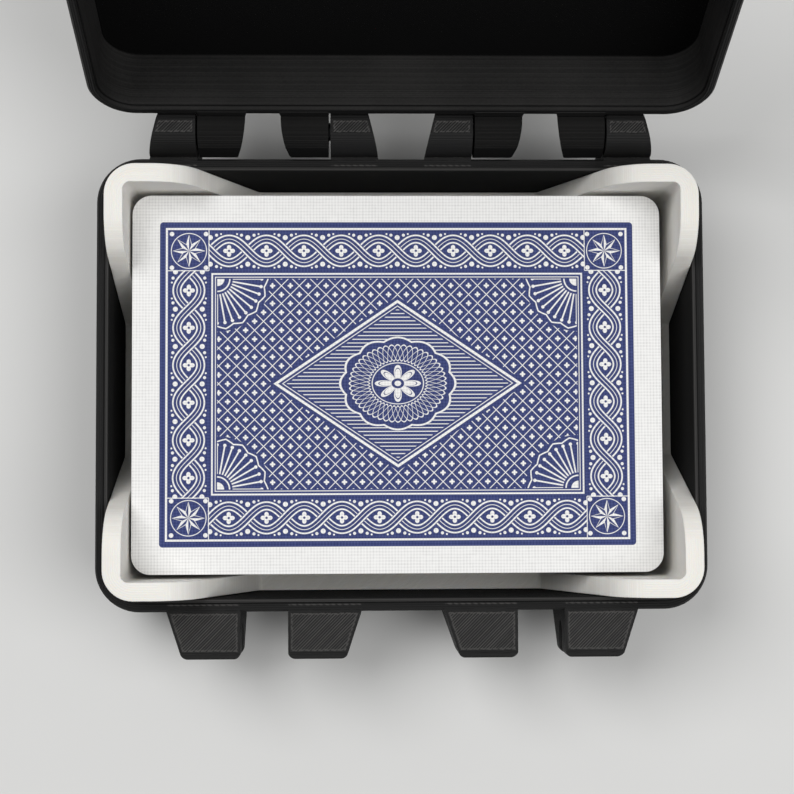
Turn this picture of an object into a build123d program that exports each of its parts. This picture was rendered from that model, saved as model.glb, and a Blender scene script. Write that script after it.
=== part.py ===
from build123d import *
from math import cos, radians, sin, sqrt, tan
import os

# A case for one deck of playing cards: a box with a hinged lid, and a tray that lifts out of it with the deck.
# Millimetres. The origin is the centre of the box's underside, +Z is up, the hinge is at the back (+Y).
# The lid stands open, as it does when the deck is taken out.

# ---- the deck ---------------------------------------------------------------------------------------------
card_length = 88.9
card_width = 63.5
card_corner_radius = 3.2
card_thickness = 0.31
card_air = 0.01  # between one card and the next
stacked_cards = 53  # every card but the top one
deck_shift = -0.7  # along X, because the deck lies nearer to one end of the tray

# ---- the tray ---------------------------------------------------------------------------------------------
end_play = 1.2  # card to tray wall, at each short end
side_play = 0.75  # card to tray wall, at each long side
tray_wall = 3.0
tray_floor = 2.0
pocket_corner_radius = 1.2
post_rise = 8.8  # corner posts above the top card
post_reach = 12.7  # from the tray's outer face to where a post's slope would meet its top
slope_angle = 67.0
shoulder_radius = 8.0  # where a post's top turns down into its slope
slope_foot_radius = 1.0
tray_foot_chamfer = 0.5

# ---- the box ----------------------------------------------------------------------------------------------
tray_clearance = 0.2  # tray to box wall, all round
box_wall = 2.2
box_floor = 2.0
box_depth = 20.0  # from the floor to the rim
box_corner_radius = 7.4
box_foot_chamfer = 1.0
rim_chamfer = 0.4
tongue_width = 0.6  # the raised lip round the cavity
tongue_height = 0.6
tongue_groove_width = 0.2  # the fine groove outside the lip
tongue_groove_depth = 0.3

# ---- the lid ----------------------------------------------------------------------------------------------
lid_wall = 1.7
lid_top = 2.0
lid_depth = 11.2
lid_top_chamfer = 1.0
rebate_side_clearance = 0.25  # round the box's lip when the lid is shut
rebate_top_clearance = 0.2
parting_gap = 0.1  # between the two rims when the lid is shut
lid_open_angle = 113.0

# ---- the hinge --------------------------------------------------------------------------------------------
hinge_offset = 4.6  # axis behind the back wall
hinge_pitch = 46.1  # between the middles of the two hinges
knuckle_radius = 4.3
knuckle_flat_drop = 0.16  # the last printed layers leave a flat on the knuckle
ear_taper = 0.25  # sideways for each millimetre outwards
box_ear_width = 8.0  # at its root
box_ear_span = 22.4  # between the inner faces of a hinge's two box ears
hinge_side_gap = 0.35  # between a box ear and a lid ear
lid_ear_gap = 5.7  # between the two lid ears, at their roots
pin_radius = 1.5
running_clearance = 0.05  # round a pin that something turns on
pin_end_gap = 0.3  # past the blind end of a pin
hinge_pin_skin = 1.1  # of the lid ear past its blind bore
hinge_pin_recess = 0.5  # of the pin's outer end in the box ear

# ---- the latches ------------------------------------------------------------------------------------------
latch_pitch = 46.1
latch_gap = 7.9  # between the two ears of a pair
latch_ear_width = 12.2  # at its root
latch_ear_taper = 0.33
latch_ear_reach = 7.9  # forward of the front wall
latch_ear_bevel = 0.9
latch_ear_tip_radius = 1.2
box_latch_ear_face = 10.0  # height of the upright face
latch_pin_out = 4.0  # pin forward of the lid's front wall
latch_pin_rise = 4.5  # pin above the lid's rim
latch_pin_recess = 0.6
latch_side_gap = 0.3
latch_eye_radius = 3.2
latch_arm_thickness = 3.4
latch_radius = 11.0  # from the pin to the nubs
latch_tail = 6.1  # arm past the nubs
latch_lip_out = 4.7
latch_lip_thickness = 2.0
nub_radius = 1.5
nub_reach = 0.9  # into the ear
channel_clearance = 0.25  # round the nub
channel_end_gap = 0.3
latch_open_angle = 90.0

# ---- worked out from the sizes above ----------------------------------------------------------------------
deck_pitch = card_thickness + card_air
deck_height = stacked_cards * deck_pitch + card_thickness

pocket_length = card_length + 2 * end_play
pocket_width = card_width + 2 * side_play
tray_length = pocket_length + 2 * tray_wall
tray_width = pocket_width + 2 * tray_wall
tray_height = tray_floor + deck_height + post_rise

cavity_length = tray_length + 2 * tray_clearance
cavity_width = tray_width + 2 * tray_clearance
cavity_corner_radius = box_corner_radius - box_wall
tray_corner_radius = cavity_corner_radius - tray_clearance
box_length = cavity_length + 2 * box_wall
box_width = cavity_width + 2 * box_wall
box_height = box_floor + box_depth

lid_height = lid_depth + lid_top  # from its rim
knuckle_slope_reach = knuckle_radius * cos(radians(45))
web_drop = hinge_offset + knuckle_radius * sqrt(2)  # where a 45 degree slope off the knuckle meets the wall
wall_bite = lid_wall / 2  # how far an ear's root lies inside its wall
lid_latch_ear_face = lid_height - latch_ear_reach
beyond = box_length  # more than any cut needs

hinge_y = box_width / 2 + hinge_offset
hinge_z = box_height

SIDES = (-1, 1)


def turned(frame, angle):
    """The frame turned about its own X axis, so that its front (-Y) swings up."""
    up = frame.y_dir * sin(radians(angle)) + frame.z_dir * cos(radians(angle))
    return Plane(origin=frame.origin, x_dir=frame.x_dir, z_dir=up)


def moved(frame, x, y, z):
    """The same frame with its origin at a point given in that frame."""
    return Plane(origin=frame.from_local_coords((x, y, z)), x_dir=frame.x_dir, z_dir=frame.z_dir)


def side_view(frame):
    """The plane of a frame's Y and Z axes, seen from its +X side."""
    return Plane(origin=frame.origin, x_dir=frame.y_dir, z_dir=frame.x_dir)


box_hinge_frame = Plane(origin=(0, hinge_y, hinge_z), x_dir=(1, 0, 0), z_dir=(0, 0, 1))
lid_frame = turned(box_hinge_frame, lid_open_angle)
lid_middle_y = -hinge_y  # in the lid's frame
box_front_frame = Plane(origin=(0, -box_width / 2, box_height), x_dir=(1, 0, 0), z_dir=(0, 0, 1))
lid_front_frame = moved(lid_frame, 0, -hinge_offset - box_width, parting_gap)


def hinge_ear(frame, root_edges, tip_edges, web):
    """A hinge ear between two tapering sides. web is -1 where it runs down to its wall and 1 where it runs up."""
    root_y = -hinge_offset - wall_bite
    with BuildPart() as ear:
        with BuildSketch(side_view(frame)):
            Circle(knuckle_radius)
            with BuildLine():
                Polyline(
                    (root_y, 0),
                    (0, 0),
                    (knuckle_slope_reach, web * knuckle_slope_reach),
                    (-hinge_offset, web * web_drop),
                    (root_y, web * web_drop),
                    close=True,
                )
            make_face()
            with Locations((0, -web * knuckle_radius)):
                Rectangle(2 * knuckle_radius, 2 * knuckle_flat_drop, mode=Mode.SUBTRACT)
        extrude(amount=box_length / 2, both=True)
        with BuildSketch(frame):
            with BuildLine():
                Polyline(
                    (root_edges[0], root_y),
                    (root_edges[1], root_y),
                    (tip_edges[1], knuckle_radius),
                    (tip_edges[0], knuckle_radius),
                    close=True,
                )
            make_face()
        extrude(amount=beyond, both=True, mode=Mode.INTERSECT)
    return ear.part


def latch_ear(frame, side, middle_x, face_height, web):
    """An ear beside a latch. side is the side of the latch that it stands on, and web is as on a hinge ear."""
    taper = latch_ear_taper * (latch_ear_reach + wall_bite)
    near = middle_x + side * latch_gap / 2
    root_far = near + side * (latch_ear_width + latch_ear_taper * wall_bite)
    foot = web * (face_height + latch_ear_reach)
    with BuildPart() as ear:
        with BuildSketch(side_view(frame)):
            with BuildLine():
                Polyline(
                    (wall_bite, 0),
                    (latch_ear_bevel - latch_ear_reach, 0),
                    (-latch_ear_reach, web * latch_ear_bevel),
                    (-latch_ear_reach, web * face_height),
                    (0, foot),
                    (wall_bite, foot),
                    close=True,
                )
            make_face()
        extrude(amount=box_length / 2, both=True)
        with BuildSketch(frame) as plan:
            with BuildLine():
                Polyline(
                    (near, wall_bite),
                    (root_far, wall_bite),
                    (root_far - side * taper, -latch_ear_reach),
                    (near, -latch_ear_reach),
                    close=True,
                )
            make_face()
            fillet(plan.vertices().group_by(Axis.Y)[0], latch_ear_tip_radius)
        extrude(amount=beyond, both=True, mode=Mode.INTERSECT)
    return ear.part


# ---- the box shell ----------------------------------------------------------------------------------------
box_ear_inner = box_ear_span / 2
box_ear_root = box_ear_inner + box_ear_width
ear_length = hinge_offset + wall_bite + knuckle_radius
lid_ear_outer = box_ear_inner - hinge_side_gap
hinge_bore_end = lid_ear_gap / 2 + ear_taper * (hinge_offset + pin_radius) + hinge_pin_skin

with BuildPart() as box_shell:
    with BuildSketch():
        RectangleRounded(box_length, box_width, box_corner_radius)
    extrude(amount=box_height)
    chamfer(box_shell.faces().sort_by(Axis.Z)[0].edges(), box_foot_chamfer)
    chamfer(box_shell.faces().sort_by(Axis.Z)[-1].edges(), rim_chamfer)
    with BuildSketch(Plane.XY.offset(box_height)):
        RectangleRounded(
            cavity_length + 2 * tongue_width,
            cavity_width + 2 * tongue_width,
            cavity_corner_radius + tongue_width,
        )
    extrude(amount=tongue_height)
    for hinge in SIDES:
        for side in SIDES:
            middle = hinge * hinge_pitch / 2
            near = middle + side * box_ear_inner
            root_far = middle + side * (box_ear_root + ear_taper * wall_bite)
            tip_far = root_far - side * ear_taper * ear_length
            add(hinge_ear(box_hinge_frame, (near, root_far), (near, tip_far), -1))
    for latch in SIDES:
        for side in SIDES:
            add(latch_ear(box_front_frame, side, latch * latch_pitch / 2, box_latch_ear_face, -1))
    # the cavity
    with BuildSketch(Plane.XY.offset(box_floor)):
        RectangleRounded(cavity_length, cavity_width, cavity_corner_radius)
    extrude(amount=box_depth + tongue_height, mode=Mode.SUBTRACT)
    # the fine groove outside the lip
    with BuildSketch(Plane.XY.offset(box_height)):
        groove_inset = tongue_width + tongue_groove_width
        RectangleRounded(
            cavity_length + 2 * groove_inset,
            cavity_width + 2 * groove_inset,
            cavity_corner_radius + groove_inset,
        )
        RectangleRounded(
            cavity_length + 2 * tongue_width,
            cavity_width + 2 * tongue_width,
            cavity_corner_radius + tongue_width,
            mode=Mode.SUBTRACT,
        )
    extrude(amount=-tongue_groove_depth, mode=Mode.SUBTRACT)
    # bores for the hinge pins, a tight fit
    for hinge in SIDES:
        for side in SIDES:
            bore_start = hinge * hinge_pitch / 2 + side * box_ear_inner
            with BuildSketch(Plane(origin=(bore_start, hinge_y, hinge_z), z_dir=(side, 0, 0))):
                Circle(pin_radius)
            extrude(amount=box_ear_width, mode=Mode.SUBTRACT)
    # the channels that a latch's nubs run into, on an arc about the latch pin's place when the lid is shut
    latch_seat = latch_pin_rise + parting_gap - latch_radius
    for latch in SIDES:
        for side in SIDES:
            near = latch * latch_pitch / 2 + side * latch_gap / 2
            channel_plane = side_view(moved(box_front_frame, near, 0, 0))
            with BuildSketch(channel_plane):
                with Locations((-latch_pin_out, latch_pin_rise + parting_gap)):
                    Circle(latch_radius + nub_radius + channel_clearance)
                    Circle(latch_radius - nub_radius - channel_clearance, mode=Mode.SUBTRACT)
                    Rectangle(beyond, beyond, align=(Align.MAX, Align.MAX), mode=Mode.INTERSECT)
                with Locations((-latch_pin_out, latch_seat)):
                    Circle(nub_radius + channel_clearance)
            extrude(amount=side * (nub_reach + channel_end_gap), mode=Mode.SUBTRACT)
box_shell.part.label = "box_shell"
export_step(box_shell.part, "parts/box_shell.step")

# ---- the lid shell ----------------------------------------------------------------------------------------
lid_cavity_length = box_length - 2 * lid_wall
lid_cavity_width = box_width - 2 * lid_wall
rebate_inset = tongue_width + rebate_side_clearance
rebate_depth = tongue_height + rebate_top_clearance
lid_rim = moved(lid_frame, 0, lid_middle_y, parting_gap)
latch_ear_far = latch_gap / 2 + latch_ear_width

with BuildPart() as lid_shell:
    with BuildSketch(lid_rim):
        RectangleRounded(box_length, box_width, box_corner_radius)
    extrude(amount=lid_height)
    upwards = Axis(lid_rim.origin, lid_rim.z_dir)
    chamfer(lid_shell.faces().sort_by(upwards)[-1].edges(), lid_top_chamfer)
    chamfer(lid_shell.faces().sort_by(upwards)[0].edges(), rim_chamfer)
    for hinge in SIDES:
        for side in SIDES:
            middle = hinge * hinge_pitch / 2
            near = middle + side * lid_ear_outer
            root_far = middle + side * (lid_ear_gap / 2 - ear_taper * wall_bite)
            tip_far = root_far + side * ear_taper * ear_length
            add(hinge_ear(lid_frame, (near, root_far), (near, tip_far), 1))
    for latch in SIDES:
        for side in SIDES:
            add(latch_ear(lid_front_frame, side, latch * latch_pitch / 2, lid_latch_ear_face, 1))
    # the cavity, and the rebate that takes the box's lip
    with BuildSketch(lid_rim):
        RectangleRounded(lid_cavity_length, lid_cavity_width, box_corner_radius - lid_wall)
    extrude(amount=lid_depth, mode=Mode.SUBTRACT)
    with BuildSketch(lid_rim):
        RectangleRounded(
            cavity_length + 2 * rebate_inset,
            cavity_width + 2 * rebate_inset,
            cavity_corner_radius + rebate_inset,
        )
    extrude(amount=rebate_depth, mode=Mode.SUBTRACT)
    # bores that the hinge pins turn in
    for hinge in SIDES:
        for side in SIDES:
            bore_start = hinge * hinge_pitch / 2 + side * lid_ear_outer
            with BuildSketch(Plane(origin=(bore_start, hinge_y, hinge_z), z_dir=(-side, 0, 0))):
                Circle(pin_radius + running_clearance)
            extrude(amount=lid_ear_outer - hinge_bore_end, mode=Mode.SUBTRACT)
    # bores for the latch pins, a tight fit
    for latch in SIDES:
        latch_axis = moved(lid_front_frame, latch * latch_pitch / 2, -latch_pin_out, latch_pin_rise)
        with BuildSketch(side_view(latch_axis)):
            Circle(pin_radius)
        extrude(amount=latch_ear_far, both=True, mode=Mode.SUBTRACT)
lid_shell.part.label = "lid_shell"
export_step(lid_shell.part, "parts/lid_shell.step")

# ---- the hinge pins, pushed in from the outer faces of the box ears -----------------------------------------
hinge_pin_inner = hinge_bore_end + pin_end_gap
hinge_pin_outer = box_ear_root - ear_taper * (hinge_offset + pin_radius) - hinge_pin_recess
hinge_pin_number = 0
for hinge in SIDES:
    for side in SIDES:
        hinge_pin_number += 1
        pin_start = hinge * hinge_pitch / 2 + side * hinge_pin_inner
        with BuildPart() as hinge_pin:
            with BuildSketch(Plane(origin=(pin_start, hinge_y, hinge_z), z_dir=(side, 0, 0))):
                Circle(pin_radius)
            extrude(amount=hinge_pin_outer - hinge_pin_inner)
        hinge_pin.part.label = f"hinge_pin_{hinge_pin_number}"
        export_step(hinge_pin.part, f"parts/hinge_pin_{hinge_pin_number}.step")

# ---- the tray ---------------------------------------------------------------------------------------------
tray_bottom = box_floor
tray_top = tray_bottom + tray_height
tray_floor_top = tray_bottom + tray_floor
slope_run = (tray_height - tray_floor) / tan(radians(slope_angle))
shoulder_run = 1.2 * shoulder_radius * tan(radians(slope_angle / 2))  # a little more than the shoulder takes

with BuildPart() as card_tray:
    with BuildSketch(Plane.XY.offset(tray_bottom)):
        RectangleRounded(tray_length, tray_width, tray_corner_radius)
    extrude(amount=tray_height)
    chamfer(card_tray.faces().sort_by(Axis.Z)[0].edges(), tray_foot_chamfer)
    with BuildSketch(Plane.XY.offset(tray_floor_top)):
        RectangleRounded(pocket_length, pocket_width, pocket_corner_radius)
    extrude(amount=tray_height, mode=Mode.SUBTRACT)
    # each side swoops down to the floor between its two posts
    for wall_plane, half_length in ((Plane.XZ, tray_length / 2), (Plane.YZ, tray_width / 2)):
        slope_head = half_length - post_reach
        slope_foot = slope_head - slope_run
        with BuildSketch(wall_plane) as opening:
            with BuildLine():
                Polyline(
                    (-slope_head - shoulder_run, tray_top),
                    (-slope_head, tray_top),
                    (-slope_foot, tray_floor_top),
                    (slope_foot, tray_floor_top),
                    (slope_head, tray_top),
                    (slope_head + shoulder_run, tray_top),
                    (slope_head + shoulder_run, tray_top + post_rise),
                    (-slope_head - shoulder_run, tray_top + post_rise),
                    close=True,
                )
            make_face()
            fillet(opening.vertices().group_by(Axis.Y)[1].sort_by(Axis.X)[1:3], shoulder_radius)
            fillet(opening.vertices().group_by(Axis.Y)[0], slope_foot_radius)
        extrude(amount=beyond, both=True, mode=Mode.SUBTRACT)
card_tray.part.label = "card_tray"
export_step(card_tray.part, "parts/card_tray.step")

# ---- the deck ---------------------------------------------------------------------------------------------
deck_bottom = tray_bottom + tray_floor
card_planes = [
    Plane(origin=(deck_shift, 0, deck_bottom + number * deck_pitch)) for number in range(stacked_cards + 1)
]

with BuildPart() as card_stack:
    with BuildSketch(*card_planes[:-1]):
        RectangleRounded(card_length, card_width, card_corner_radius)
    extrude(amount=card_thickness)
card_stack.part.label = "card_stack"
export_step(card_stack.part, "parts/card_stack.step")

with BuildPart() as top_card:
    with BuildSketch(card_planes[-1]):
        RectangleRounded(card_length, card_width, card_corner_radius)
    extrude(amount=card_thickness)
top_card.part.label = "top_card"
export_step(top_card.part, "parts/top_card.step")

# ---- the latches, which turn on pins through the lid's front ears -------------------------------------------
latch_half_width = latch_gap / 2 - latch_side_gap
arm_half = latch_arm_thickness / 2
latch_end = latch_radius + latch_tail
latch_pin_half_length = (
    latch_gap / 2 + latch_ear_width - latch_ear_taper * (latch_pin_out + pin_radius) - latch_pin_recess
)

for latch, name in ((-1, "left"), (1, "right")):
    latch_axis = moved(lid_front_frame, latch * latch_pitch / 2, -latch_pin_out, latch_pin_rise)
    latch_side = side_view(turned(latch_axis, latch_open_angle))

    with BuildPart() as latch_pin:
        with BuildSketch(latch_side):
            Circle(pin_radius)
        extrude(amount=latch_pin_half_length, both=True)
    latch_pin.part.label = f"latch_pin_{name}"
    export_step(latch_pin.part, f"parts/latch_pin_{name}.step")

    with BuildPart() as latch_arm:
        with BuildSketch(latch_side) as arm_outline:
            with BuildLine():
                Polyline(
                    (arm_half, 0),
                    (arm_half, latch_lip_out - latch_end),
                    (arm_half - latch_lip_out, -latch_end),
                    (-arm_half - latch_lip_out, -latch_end),
                    (-arm_half - latch_lip_out, latch_lip_thickness - latch_end),
                    (-arm_half, latch_lip_thickness + latch_lip_out / 2 - latch_end),
                    (-arm_half, 0),
                    close=True,
                )
            make_face()
            Circle(latch_eye_radius)
            Circle(pin_radius + running_clearance, mode=Mode.SUBTRACT)
        extrude(amount=latch_half_width, both=True)
        with BuildSketch(latch_side):
            with Locations((0, -latch_radius)):
                Circle(nub_radius)
        extrude(amount=latch_gap / 2 + nub_reach, both=True)
    latch_arm.part.label = f"latch_{name}"
    export_step(latch_arm.part, f"parts/latch_{name}.step")

print("tray", round(tray_length, 2), round(tray_width, 2), round(tray_height, 2))
print("box", round(box_length, 2), round(box_width, 2), round(box_height, 2))
print("shut", round(box_height + parting_gap + lid_height, 2))
print("hinge axis", round(hinge_y, 3), hinge_z)
for latch in SIDES:
    latch_axis = moved(lid_front_frame, latch * latch_pitch / 2, -latch_pin_out, latch_pin_rise)
    print("latch axis", latch_axis.origin)
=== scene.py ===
import math

import bpy
from mathutils import Matrix, Vector

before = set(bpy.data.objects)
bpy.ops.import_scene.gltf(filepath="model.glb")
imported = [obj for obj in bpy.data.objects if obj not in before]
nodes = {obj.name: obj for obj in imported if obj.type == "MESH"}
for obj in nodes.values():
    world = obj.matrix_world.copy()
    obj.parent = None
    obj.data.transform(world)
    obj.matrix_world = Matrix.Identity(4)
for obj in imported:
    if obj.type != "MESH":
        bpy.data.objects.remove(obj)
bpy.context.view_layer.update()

# The looks of a 3-D printed case for one deck of cards: two black shells with black latch arms, a white tray,
# blackened steel pins and the deck.
# Patterns are worked out in millimetres from each piece's own coordinates, so they ride with it.

MM = 0.001

# ---- camera, at the photograph's viewing angle ---------------------------------------------------------------
FRAME_PIXELS = 794
FOCAL_PIXELS = 1600

camera_data = bpy.data.cameras.new("camera")
camera_data.sensor_width = 36.0
camera_data.lens = FOCAL_PIXELS / FRAME_PIXELS * camera_data.sensor_width
camera_data.clip_start = 0.01
camera_data.clip_end = 10.0
camera = bpy.data.objects.new("camera", camera_data)
bpy.context.scene.collection.objects.link(camera)
camera.location = (-8.58 * MM, -17.25 * MM, 289.18 * MM)
turn = Vector((math.radians(-3.198), math.radians(1.644), math.radians(0.222)))
camera.rotation_mode = "QUATERNION"
camera.rotation_quaternion = Matrix.Rotation(-turn.length, 3, turn.normalized()).to_quaternion()
bpy.context.scene.camera = camera
bpy.context.scene.view_settings.view_transform = "Standard"

# ---- sizes that the patterns follow, in millimetres ------------------------------------------------------------
BOX_HALF = (51.05, 37.9)
BOX_CORNER = 7.4
CAVITY_HALF = (48.95, 35.8)
CAVITY_CORNER = 5.3
HINGE_Y = 42.5
HINGE_Z = 22.0
HINGE_OUT = 4.6  # from the back wall's outer face to the hinge's axis
LID_ANGLE = math.radians(113.0)
EAR_PAIR_X = 23.05  # middle of each pair of ears
FRONT_EAR_START = 3.95  # from that middle to a front ear
FRONT_EAR_WIDTH = 12.2
FRONT_EAR_REACH = 7.0
FRONT_EAR_TAPER = 0.33
BACK_EAR_START = 11.2  # from that middle to a back ear
BACK_EAR_WIDTH = 8.0
BACK_EAR_TAPER = 0.25
KNUCKLE_BASE = 24.0  # above it lies the flat on top of a back ear
KNUCKLE_HALF = 1.45  # half that flat's depth
TRAY_HALF = (48.65, 35.5)
TRAY_CORNER = 5.0
DECK_X = -0.7
DECK_BOTTOM = 4.0
CARD_PITCH = 0.32
LAYER = 0.2  # height of one printed layer
THREAD = 0.38  # width of one printed thread
LEVEL_NORMAL = (0.93, 0.985)  # from steep to level, by the normal's part along the printing direction


# ---- arithmetic on shader sockets --------------------------------------------------------------------------------
def feed(tree, value, socket):
    if isinstance(value, Field):
        tree.links.new(value.socket, socket)
    else:
        socket.default_value = value


class Field:
    """A number that varies over a surface. Arithmetic on it adds Math nodes."""

    def __init__(self, tree, socket):
        self.tree = tree
        self.socket = socket

    def math(self, operation, *others):
        node = self.tree.nodes.new("ShaderNodeMath")
        node.operation = operation
        for socket, value in zip(node.inputs, (self, *others)):
            feed(self.tree, value, socket)
        return Field(self.tree, node.outputs[0])

    def __add__(self, other):
        return self.math("ADD", other)

    def __sub__(self, other):
        return self.math("SUBTRACT", other)

    def __mul__(self, other):
        return self.math("MULTIPLY", other)

    def __truediv__(self, other):
        return self.math("DIVIDE", other)

    def __rsub__(self, other):
        return self.math("MULTIPLY_ADD", -1.0, other)

    def __rtruediv__(self, other):
        return self.math("POWER", -1.0) * other

    def __neg__(self):
        return self * -1.0

    def __abs__(self):
        return self.math("ABSOLUTE")

    __radd__ = __add__
    __rmul__ = __mul__


def least(first, *others):
    for other in others:
        first = first.math("MINIMUM", other)
    return first


def most(first, *others):
    for other in others:
        first = first.math("MAXIMUM", other)
    return first


def clamp(value):
    return value.math("MINIMUM", 1.0).math("MAXIMUM", 0.0)


def inside(distance, soft=0.05):
    """1 where the distance is below zero, 0 above, with a soft edge."""
    return clamp(0.5 - distance / soft)


def line(distance, half_width, soft=0.05):
    return inside(abs(distance) - half_width, soft)


def ramp(value, low, high):
    """0 at low and below, 1 at high and above."""
    return clamp((value - low) / (high - low))


def wave(value, pitch, phase=0.0):
    """0 to 1 and back in each pitch."""
    return (value * (2 * math.pi / pitch) + phase).math("COSINE") * 0.5 + 0.5


def centred(value, pitch):
    """Distance from the nearest multiple of pitch, with its sign."""
    return value.math("WRAP", pitch / 2, -pitch / 2)


def length(a, b):
    return (a * a + b * b).math("SQRT")


def angle(a, b):
    return b.math("ARCTAN2", a)


def union(first, *others):
    return most(first, *others)


def without(mask, cut):
    return mask * (1.0 - cut)


def blend(low, high, factor):
    """low where factor is 0, high where it is 1; both may be Fields or numbers."""
    return (high - low) * factor + low


def rounded_rectangle(x, y, half_x, half_y, radius):
    """Distance from a rounded rectangle's outline, below zero inside it."""
    over_x = abs(x) - (half_x - radius)
    over_y = abs(y) - (half_y - radius)
    outer = length(over_x.math("MAXIMUM", 0.0), over_y.math("MAXIMUM", 0.0))
    return outer + most(over_x, over_y).math("MINIMUM", 0.0) - radius


class Surface:
    """A material under way: its tree, its coordinates in millimetres and its normal.

    Both are in the piece's own frame."""

    def __init__(self, name):
        self.material = bpy.data.materials.new(name)
        self.material.use_nodes = True
        self.tree = self.material.node_tree
        self.shader = self.tree.nodes["Principled BSDF"]
        coordinates = self.tree.nodes.new("ShaderNodeTexCoord")
        scaled = self.tree.nodes.new("ShaderNodeVectorMath")
        scaled.operation = "SCALE"
        scaled.inputs["Scale"].default_value = 1 / MM
        self.tree.links.new(coordinates.outputs["Object"], scaled.inputs[0])
        self.place = scaled.outputs[0]
        self.x, self.y, self.z = self.split(scaled.outputs[0])
        self.nx, self.ny, self.nz = self.split(coordinates.outputs["Normal"])

    def split(self, socket):
        node = self.tree.nodes.new("ShaderNodeSeparateXYZ")
        self.tree.links.new(socket, node.inputs[0])
        return [Field(self.tree, output) for output in node.outputs]

    def join(self, x, y, z):
        node = self.tree.nodes.new("ShaderNodeCombineXYZ")
        for value, socket in zip((x, y, z), node.inputs):
            feed(self.tree, value, socket)
        return node.outputs[0]

    def noise(self, scale, detail=2.0, rough=0.5, place=None):
        node = self.tree.nodes.new("ShaderNodeTexNoise")
        node.inputs["Scale"].default_value = scale
        node.inputs["Detail"].default_value = detail
        node.inputs["Roughness"].default_value = rough
        self.tree.links.new(place or self.place, node.inputs["Vector"])
        return Field(self.tree, node.outputs["Fac"])

    def random(self, value):
        """A random number from 0 to 1 for each value."""
        node = self.tree.nodes.new("ShaderNodeTexWhiteNoise")
        node.noise_dimensions = "1D"
        feed(self.tree, value, node.inputs["W"])
        return Field(self.tree, node.outputs["Value"])

    def colour(self, low, high, factor):
        node = self.tree.nodes.new("ShaderNodeMix")
        node.data_type = "RGBA"
        feed(self.tree, factor, node.inputs["Factor"])
        for value, socket in ((low, node.inputs[6]), (high, node.inputs[7])):
            if isinstance(value, tuple):
                socket.default_value = (*value, 1.0)
            else:
                self.tree.links.new(value, socket)
        return node.outputs[2]

    def rounded_normal(self, radius_mm):
        node = self.tree.nodes.new("ShaderNodeBevel")
        node.samples = 4
        node.inputs["Radius"].default_value = radius_mm * MM
        return node.outputs[0]

    def bump(self, height_mm, normal=None):
        """Turns a height in millimetres into a normal."""
        node = self.tree.nodes.new("ShaderNodeBump")
        node.inputs["Strength"].default_value = 1.0
        node.inputs["Distance"].default_value = MM
        self.tree.links.new(height_mm.socket, node.inputs["Height"])
        if normal is not None:
            self.tree.links.new(normal, node.inputs["Normal"])
        return node.outputs[0]

    def finish(self, colour, rough, normal, **constants):
        self.tree.links.new(colour, self.shader.inputs["Base Color"])
        feed(self.tree, rough, self.shader.inputs["Roughness"])
        if normal is not None:
            self.tree.links.new(normal, self.shader.inputs["Normal"])
        for socket, value in constants.items():
            self.shader.inputs[socket.replace("_", " ")].default_value = value

    def paint(self, *names):
        for name in names:
            nodes[name].data.materials.clear()
            nodes[name].data.materials.append(self.material)


# ---- printed plastic ---------------------------------------------------------------------------------------------
def fill_threads(s, a, b):
    """Height, 0 to 1, of threads laid at 45 degrees, and a random number for each thread."""
    across = (a - b) * math.sqrt(0.5)
    number = (across / THREAD).math("FLOOR")
    return wave(across, THREAD, math.pi), s.random(number)


BLACK_LOW = (0.0020, 0.0020, 0.0022)
BLACK_MIDDLE = (0.0140, 0.0138, 0.0136)
BLACK_HIGH = (0.060, 0.058, 0.056)
# near black, for painted shade inside the lid and in the box's cavity
BLACK_PAINTED_SHADE = (0.0010, 0.0010, 0.0010)


def black_plastic(name, up, normal_up, flat_pattern, bed_side, dullness_and_shade, painted_sheen_lightness=1.0, shine=0.26):
    """up: height in the printing direction; normal_up: the normal's part along it; flat_pattern: what covers the
    surfaces that lie level in the printer; bed_side: 1 where the printer's bed was; then a mask from 0 to 1 of where
    the plastic turns matte and painted shade darkens its colour to near black; then a colour gain, which on the lid
    lightens the plastic as a painted sheen in place of the shine it loses."""
    s = Surface(name)
    printed, facing = up(s), normal_up(s)
    drift = s.noise(0.09, 2.0) * 0.05
    layer_number = ((printed + drift) / LAYER).math("FLOOR")
    layer_tone = s.random(layer_number)
    layers = wave(printed + drift, LAYER, math.pi)
    level = ramp(abs(facing), *LEVEL_NORMAL)
    steep = 1.0 - level
    pattern, pattern_tone, pattern_height = flat_pattern(s)
    bed = bed_side(s)
    grain = s.noise(2.6, 3.0, 0.6)
    bed_grain = s.noise(1.7, 2.0, 0.55)
    patches = s.noise(0.06, 3.0, 0.55)

    height = steep * (layers * 0.03 + layer_tone * 0.02)
    height = height + level * (1.0 - bed) * (pattern * pattern_height)
    height = height + level * bed * bed_grain * 0.05 + grain * 0.006
    tone = steep * (layer_tone * 0.1 + layers * 0.12 + 0.24) + level * (1.0 - bed) * pattern_tone
    # on the lid, this colour gain lightens the plastic as a painted sheen in place of the shine it loses
    tone = (tone + patches * 0.2 + grain * 0.15) * painted_sheen_lightness
    colour = s.colour(BLACK_LOW, BLACK_MIDDLE, clamp(tone * 0.85))
    colour = s.colour(colour, BLACK_HIGH, clamp(tone - 1.0))
    dull_and_shade = dullness_and_shade(s)
    # painted shade: where the mask is high the colour darkens to near black, and the plastic also turns matte
    colour = s.colour(colour, BLACK_PAINTED_SHADE, dull_and_shade * 0.8)
    rough = 0.44 + grain * 0.16 + patches * 0.14 - layer_tone * 0.06 + dull_and_shade * 0.42
    s.finish(colour, rough, s.bump(height, s.rounded_normal(0.14)), Specular_IOR_Level=shine)
    return s


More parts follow.
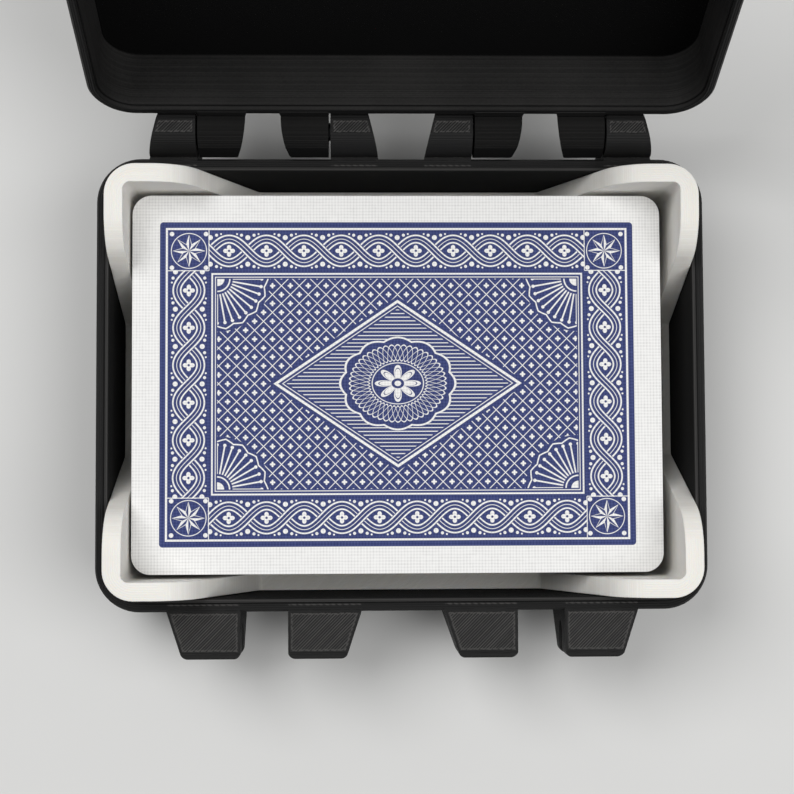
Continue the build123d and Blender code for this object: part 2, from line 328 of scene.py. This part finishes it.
def box_flat(s):
    """Threads on the box's level surfaces: loops that follow the rim, and 45 degree fill on the ears."""
    edge = rounded_rectangle(s.x, s.y, *BOX_HALF, BOX_CORNER)
    loops = wave(edge, THREAD, 0.4)
    loop_tone = s.random((edge / THREAD).math("FLOOR"))
    fill, fill_tone = fill_threads(s, s.x, s.y)
    # all four front ears, and all four back ones, fold into one
    beside = abs(abs(s.x) - EAR_PAIR_X)
    front_out = -BOX_HALF[1] - s.y
    front_in = beside - FRONT_EAR_START
    front_far = (FRONT_EAR_WIDTH - FRONT_EAR_TAPER * front_out - front_in) * 0.95
    front_inset = least(front_in, front_far, FRONT_EAR_REACH - front_out, front_out + 0.2)
    back_out = s.y - BOX_HALF[1]
    back_in = beside - BACK_EAR_START
    back_far = BACK_EAR_WIDTH - BACK_EAR_TAPER * back_out - back_in
    back_inset = least(back_in, back_far, back_out + 0.2)
    knuckle = clamp(s.z - KNUCKLE_BASE)
    knuckle_inset = least(back_in, back_far, KNUCKLE_HALF - abs(s.y - HINGE_Y))
    waver = s.noise(0.8, 2.0) * 0.3 - 0.15
    inset = blend(most(front_inset, back_inset), knuckle_inset, knuckle) + waver
    filled = ramp(inset, 0.42, 0.52)
    turns = wave(s.x + s.y, 2.0 * THREAD * math.sqrt(2.0)) * 0.6 + s.noise(2.0, 1.0) * 0.8 - 0.2
    ends = line(inset - 0.62, 0.14, 0.12) * clamp(turns)
    border = wave(inset, THREAD, 0.9)
    on_ear = ramp(inset, -0.05, 0.05)
    # where an ear joins the wall, a row of short dashes lies along the rim's groove
    at_front_ear = least(front_in, FRONT_EAR_WIDTH - front_in) * ramp(-s.y, 0.0, 1.0)
    at_back_ear = least(back_in, BACK_EAR_WIDTH - back_in) * ramp(s.y, 0.0, 1.0)
    beside_ear = most(at_front_ear, at_back_ear)
    dashes = line(edge + 1.12, 0.13, 0.1) * ramp(beside_ear, 0.0, 0.2) * clamp(turns * 1.3)
    ear_pattern = blend(border, fill, filled)
    pattern = blend(loops, ear_pattern, on_ear)
    scatter = s.noise(0.9, 2.0) * 0.7
    fill_light = filled * fill * (0.5 + fill_tone * 0.6 + scatter)
    border_light = (1.0 - filled) * border * 0.25
    ear_tone = 0.5 + fill_light + ends * 1.6 + border_light - knuckle * 0.3
    # painted highlight: the top of the raised lip is drawn lighter than the rest of the rim
    lip = ramp(s.z, 22.3, 22.5)
    rim_tone = loop_tone * 0.7 + loops * 0.45 + 0.15 + dashes * 1.6 + lip * 0.45
    return pattern, blend(rim_tone, ear_tone, on_ear), 0.09


def lid_flat(s):
    """Threads on the lid's level surfaces: loops along its wall, and 45 degree fill inside and outside."""
    edge = rounded_rectangle(s.x, s.y_in_lid + BOX_HALF[1] + HINGE_OUT, *BOX_HALF, BOX_CORNER)
    loops = wave(edge, THREAD, 0.4)
    fill, fill_tone = fill_threads(s, s.x, s.y_in_lid)
    wall = ramp(edge, -2.2, -2.0)
    pattern = blend(fill * 0.4, loops, wall)
    return pattern, blend(fill_tone * 0.05, 0.03 + loops * 0.1, wall), 0.06


def lid_dullness_and_shade(s):
    """The lid's inner floor, and to a lesser degree the ears, which stand outside the wall: there the plastic turns
    matte and is painted darker as shade.
    """
    inner_floor = ramp(s.z_in_lid, 10.9, 11.2) * (1.0 - ramp(s.z_in_lid, 11.6, 11.9))
    return union(inner_floor, ramp(s.y_in_lid, -HINGE_OUT, -HINGE_OUT + 0.2) * 0.75)


def box_dullness_and_shade(s):
    """The cavity's walls, inside the lip: there the plastic turns matte and is painted darker as shade in the recess.
    """
    return inside(rounded_rectangle(s.x, s.y, *CAVITY_HALF, CAVITY_CORNER), 0.1)


def lid_up(s):
    """Height in the lid's own frame, which has its origin on the hinge's axis and is level when the lid is shut."""
    cos_lid, sin_lid = math.cos(LID_ANGLE), math.sin(LID_ANGLE)
    y, z = s.y - HINGE_Y, s.z - HINGE_Z
    s.y_in_lid = y * cos_lid - z * sin_lid
    s.z_in_lid = y * sin_lid + z * cos_lid
    s.nz_in_lid = s.ny * sin_lid + s.nz * cos_lid
    return s.z_in_lid


black_plastic(
    "black_print_box",
    up=lambda s: s.z,
    normal_up=lambda s: s.nz,
    flat_pattern=box_flat,
    bed_side=lambda s: 1.0 - ramp(s.z, 0.3, 0.6),
    dullness_and_shade=box_dullness_and_shade,
).paint("box_shell")
black_plastic(
    "black_print_lid",
    up=lid_up,
    normal_up=lambda s: s.nz_in_lid,
    flat_pattern=lid_flat,
    bed_side=lambda s: ramp(s.z_in_lid, 12.6, 12.9),
    dullness_and_shade=lid_dullness_and_shade,
    # painted sheen: the lid's plastic is drawn lighter, in place of its lower shine
    painted_sheen_lightness=2.3,
    shine=0.13,
).paint("lid_shell")


def arm_flat(s):
    fill, fill_tone = fill_threads(s, s.y, s.z)
    return fill, fill * 0.4 + fill_tone * 0.4, 0.07


def nowhere(s):
    return s.x * 0.0


# the arms are printed lying on their sides
black_plastic(
    "black_print_latch",
    up=lambda s: s.x,
    normal_up=lambda s: s.nx,
    flat_pattern=arm_flat,
    bed_side=nowhere,
    dullness_and_shade=nowhere,
).paint("latch_left", "latch_right")


def white_plastic():
    s = Surface("white_print_tray")
    drift = s.noise(0.08, 2.0) * 0.05
    layer_number = ((s.z + drift) / LAYER).math("FLOOR")
    layer_tone = s.random(layer_number)
    layers = wave(s.z + drift, LAYER, math.pi)
    level = ramp(abs(s.nz), *LEVEL_NORMAL)
    steep = 1.0 - level
    edge = rounded_rectangle(s.x, s.y, *TRAY_HALF, TRAY_CORNER)
    loops = wave(edge, THREAD, 0.0)
    loop_tone = s.random((edge / THREAD).math("FLOOR"))
    fill, fill_tone = fill_threads(s, s.x, s.y)
    on_floor = 1.0 - ramp(s.z, 4.3, 4.6)
    grain = s.noise(2.2, 3.0, 0.6)
    patches = s.noise(0.05, 3.0, 0.5)
    height = steep * (layers * 0.014 + layer_tone * 0.02)
    height = height + level * blend(loops * 0.03, fill * 0.035, on_floor) + grain * 0.006
    level_tone = blend(loops * 0.2 + loop_tone * 0.4, fill_tone * 0.4, on_floor)
    tone = steep * (layer_tone * 0.5 + layers * 0.1) + level * level_tone
    tone = clamp(tone * 0.6 + patches * 0.45 + grain * 0.15)
    colour = s.colour((0.80, 0.775, 0.715), (0.93, 0.92, 0.885), tone)
    rough = 0.42 + grain * 0.12 + layer_tone * 0.08
    s.finish(
        colour, rough, s.bump(height, s.rounded_normal(0.3)), Specular_IOR_Level=0.4,
        Subsurface_Weight=0.22, Subsurface_Radius=(1.3, 1.0, 0.7), Subsurface_Scale=MM,
    )
    return s


white_plastic().paint("card_tray")


# ---- pins --------------------------------------------------------------------------------------------------------
def steel():
    """Blackened steel: dull and dark, so that a pin's end doesn't flash in the hinge's gap."""
    s = Surface("steel_pin")
    rings = s.noise(1.0, 4.0, 0.7, s.join(s.x * 9.0, s.y * 0.4, s.z * 0.4))
    scuffs = s.noise(1.4, 3.0, 0.6)
    colour = s.colour((0.035, 0.035, 0.037), (0.12, 0.12, 0.125), clamp(rings * 0.7 + scuffs * 0.3))
    s.finish(colour, 0.30 + scuffs * 0.2, s.bump(rings * 0.004, s.rounded_normal(0.12)), Metallic=1.0)
    return s


steel().paint(*(f"hinge_pin_{number}" for number in (1, 2, 3, 4)), "latch_pin_left", "latch_pin_right")


# ---- the cards -----------------------------------------------------------------------------------------------------
PAPER_DARK = (0.66, 0.655, 0.645)
PAPER_LIGHT = (0.93, 0.925, 0.91)
LINEN = 0.52  # pitch of the linen finish
INK = (0.016, 0.027, 0.125)


def card_edges():
    """The sides of the deck: a fine line of painted shade in the groove between cards, and a little difference from
    card to card.
    """
    s = Surface("card_edge")
    number = ((s.z - DECK_BOTTOM) / CARD_PITCH).math("FLOOR")
    card_tone = s.random(number)
    gap = line(centred(s.z - DECK_BOTTOM, CARD_PITCH), 0.035, 0.03)
    fibres = s.noise(1.0, 3.0, 0.6, s.join(s.x * 1.2, s.y * 1.2, s.z * 6.0))
    colour = s.colour(PAPER_DARK, PAPER_LIGHT, clamp(card_tone * 0.45 + fibres * 0.6))
    # painted shade: the groove between cards is drawn dark grey
    colour = s.colour(colour, (0.33, 0.335, 0.36), gap * 0.75)
    s.finish(colour, 0.6 + fibres * 0.15, s.bump(fibres * 0.01 - gap * 0.03), Specular_IOR_Level=0.3)
    return s


card_edges().paint("card_stack")

FRAME_HALF = (39.85, 27.25)  # the printed frame on a card's back
BRAID = 6.286  # one eye of the braid round the border
BORDER_MIDDLE = 4.85  # depths from the printed frame's edge: the braid's middle line,
BLOCK_DEPTH = 8.1  # the border and its corner blocks end,
MIDDLE_DEPTH = 9.6  # and the middle starts


def petals(radius, turned, size, count, waist=0.45):
    """A flower with its petals apart: below zero inside."""
    return radius - size * ((turned * (count / 2)).math("COSINE").math("ABSOLUTE") * (1 - waist) + waist)


def back_print(s, u, v):
    """1 where a card's back is bare white, 0 where it is inked: a braided border with star blocks at its corners,
    round a lattice with a lozenge in its middle."""
    from_side = FRAME_HALF[0] - abs(u)
    from_top = FRAME_HALF[1] - abs(v)
    depth = least(from_side, from_top)
    deepest = most(from_side, from_top)
    side_strip = inside(from_side - from_top, 0.01)
    t = blend(u, v, side_strip)
    n = depth - BORDER_MIDDLE

    # the braid
    phase = t * (math.pi / BRAID)
    swing = phase.math("SINE") * 2.0
    turned = phase.math("COSINE")
    steepness = (turned * turned + 1.0).math("SQRT")
    first = abs(n - swing) / steepness
    second = abs(n + swing) / steepness
    first_over = inside(-turned, 0.02)
    first_lines = line(first - 0.62, 0.13) + line(first, 0.06)
    second_lines = line(second - 0.62, 0.13) + line(second, 0.06)
    braid = union(
        without(first_lines, inside(second - 0.84) * (1.0 - first_over)),
        without(second_lines, inside(first - 0.84) * first_over),
    )
    eye = centred(t - BRAID / 2, BRAID)
    eye_radius = length(eye, n)
    flower = without(inside(petals(eye_radius, angle(eye, n), 1.0, 4)), inside(eye_radius - 0.2))
    knot = centred(t, BRAID)
    beads = union(
        inside(length(knot, abs(n) - 2.25) - 0.42),
        inside(length(abs(knot) - 1.05, abs(n) - 2.65) - 0.26),
        inside(length(abs(knot) - 1.8, abs(n) - 2.85) - 0.16),
    )
    strip = union(braid, flower, beads)

    # the corner blocks
    a, b = from_side - BORDER_MIDDLE, from_top - BORDER_MIDDLE
    star_radius, star_angle = length(a, b), angle(a, b)
    facet = centred(star_angle, math.pi / 4)
    star_edge = star_radius - 2.75 / (abs(facet) * 3.2 + 1.0)
    star = union(inside(star_edge) * inside(facet, 0.02), line(star_edge + 0.1, 0.09))
    block = union(
        star,
        line(star_radius - 2.95, 0.07),
        inside(length(abs(a) - 2.85, abs(b) - 2.85) - 0.38),
    )
    in_block = inside(deepest - BLOCK_DEPTH, 0.02)
    border = blend(strip, block, in_block)
    border = border * inside(1.55 - depth) * inside(depth - BLOCK_DEPTH)
    border = union(border, line(deepest - 8.2, 0.07) * inside(depth - 8.2) * inside(1.15 - depth))

    # the middle: a lattice, quarter fans at its corners and a lozenge over it
    p, q = (u + v) / 3.0, (u - v) / 3.0
    lattice = union(line(centred(p, 1.0), 0.032, 0.03), line(centred(q, 1.0), 0.032, 0.03))
    cell = length(centred(p - 0.5, 1.0), centred(q - 0.5, 1.0))
    cell_angle = angle(centred(p - 0.5, 1.0), centred(q - 0.5, 1.0))
    middle = union(lattice, inside(petals(cell, cell_angle + math.pi / 4, 0.22, 4), 0.03))
    fan_a, fan_b = from_side - MIDDLE_DEPTH, from_top - MIDDLE_DEPTH
    fan_radius, fan_angle = length(fan_a, fan_b), angle(fan_a, fan_b)
    blade = abs(centred(fan_angle, math.pi / 18))
    blade_width = blade * fan_radius
    fan = union(
        line(blade_width, 0.13) * inside(2.6 - fan_radius) * inside(fan_radius - 7.4),
        line(fan_radius - 2.1, 0.12),
        inside(fan_radius - 1.2),
        line(fan_radius - 8.0 - (abs(centred(fan_angle, math.pi / 9)) * -3.0 + 0.5), 0.12),
        inside(length(centred(fan_angle, math.pi / 18) * 7.4, fan_radius - 7.45) - 0.28),
    )
    middle = blend(middle, fan, inside(fan_radius - 8.9))
    lozenge = (abs(u) / 21.0 + abs(v) / 14.2 - 1.0) * 11.76
    hatch = line(centred(v, 0.62), 0.075)
    rose_u = u / 1.25
    rose_radius, rose_angle = length(rose_u, v), angle(rose_u, v)
    swings = [(rose_angle * 12.0 + quarter * math.pi / 2).math("COSINE") * 1.35 for quarter in range(4)]
    lace = union(*(line(rose_radius - 5.15 - swing_out, 0.1) for swing_out in swings))
    scallop = rose_radius - 7.2 - (rose_angle * 6.0).math("COSINE").math("ABSOLUTE") * 0.55
    heart_edge = petals(rose_radius, rose_angle, 3.1, 8, 0.3)
    rose = union(
        lace * inside(3.4 - rose_radius),
        line(scallop, 0.15),
        without(inside(heart_edge), line(heart_edge + 0.55, 0.08)),
        line(rose_radius - 3.45, 0.07),
    )
    rose = without(rose, inside(rose_radius - 0.85) * inside(0.45 - rose_radius))
    lozenge_inner = blend(hatch, rose, inside(scallop - 0.15))
    lozenge_print = union(
        lozenge_inner * inside(lozenge + 1.35),
        line(lozenge + 0.95, 0.07),
        line(lozenge + 0.3, 0.22),
    )
    middle = blend(middle, lozenge_print, inside(lozenge - 0.45))
    middle = middle * inside(MIDDLE_DEPTH - depth)

    lines = union(line(depth - 1.15, 0.17), line(depth - 8.75, 0.14), line(depth - 9.3, 0.07))
    outline = rounded_rectangle(u, v, *FRAME_HALF, 0.6)
    print_mask = union(border, middle, lines)
    return union(print_mask, inside(-outline))


def top_card():
    s = Surface("card_back")
    u, v = s.x - DECK_X, s.y
    bare = back_print(s, u, v)
    on_top = ramp(s.nz, 0.5, 0.6)
    warp = s.noise(0.35, 2.0) * 0.1
    grooves_u = wave(u + warp, LINEN) * s.noise(1.0, 2.0, 0.5, s.join(u * 2.0, v * 0.35, 0.0))
    grooves_v = wave(v + warp, LINEN) * s.noise(1.0, 2.0, 0.5, s.join(u * 0.35, v * 2.0, 0.0))
    linen = (grooves_u + grooves_v - 0.18) * 0.95 * on_top
    patches = s.noise(0.04, 2.0, 0.5)
    paper = s.colour(PAPER_LIGHT, PAPER_DARK, clamp(linen * 0.75 + patches * 0.12))
    ink = s.colour(INK, (0.085, 0.11, 0.29), clamp(linen * 0.6 + s.noise(0.8, 3.0) * 0.15))
    colour = s.colour(ink, paper, clamp(bare + (1.0 - on_top)))
    s.finish(colour, 0.5 + linen * 0.15, s.bump(linen * -0.02), Specular_IOR_Level=0.25)
    return s


top_card().paint("top_card")

# ---- floor and light -------------------------------------------------------------------------------------------
floor_mesh = bpy.data.meshes.new("floor")
floor_mesh.from_pydata([(-3, -3, 0), (3, -3, 0), (3, 3, 0), (-3, 3, 0)], [], [(0, 1, 2, 3)])
floor = bpy.data.objects.new("floor", floor_mesh)
bpy.context.scene.collection.objects.link(floor)
floor.location.z = -0.2 * MM
floor_surface = Surface("floor")
floor_grain = floor_surface.noise(0.02, 3.0, 0.5)
floor_surface.finish(
    floor_surface.colour((0.70, 0.70, 0.69), (0.74, 0.74, 0.73), floor_grain),
    0.8, None, Specular_IOR_Level=0.2,
)
floor.data.materials.append(floor_surface.material)

world = bpy.data.worlds.new("studio")
bpy.context.scene.world = world
world.use_nodes = True
world.node_tree.nodes["Background"].inputs["Color"].default_value = (1, 1, 1, 1)
world.node_tree.nodes["Background"].inputs["Strength"].default_value = 0.25


def area_light(name, place, aim, size, power):
    light = bpy.data.lights.new(name, "AREA")
    light.shape = "DISK"
    light.size = size
    light.energy = power
    lamp = bpy.data.objects.new(name, light)
    bpy.context.scene.collection.objects.link(lamp)
    lamp.location = place
    lamp.rotation_mode = "QUATERNION"
    lamp.rotation_quaternion = (Vector(aim) - Vector(place)).to_track_quat("-Z", "Y")


area_light("key", (-0.33, 0.26, 0.68), (0, 0, 0.02), 0.50, 3.25)
area_light("fill", (0.40, -0.12, 0.68), (0, 0, 0.02), 0.60, 2.85)
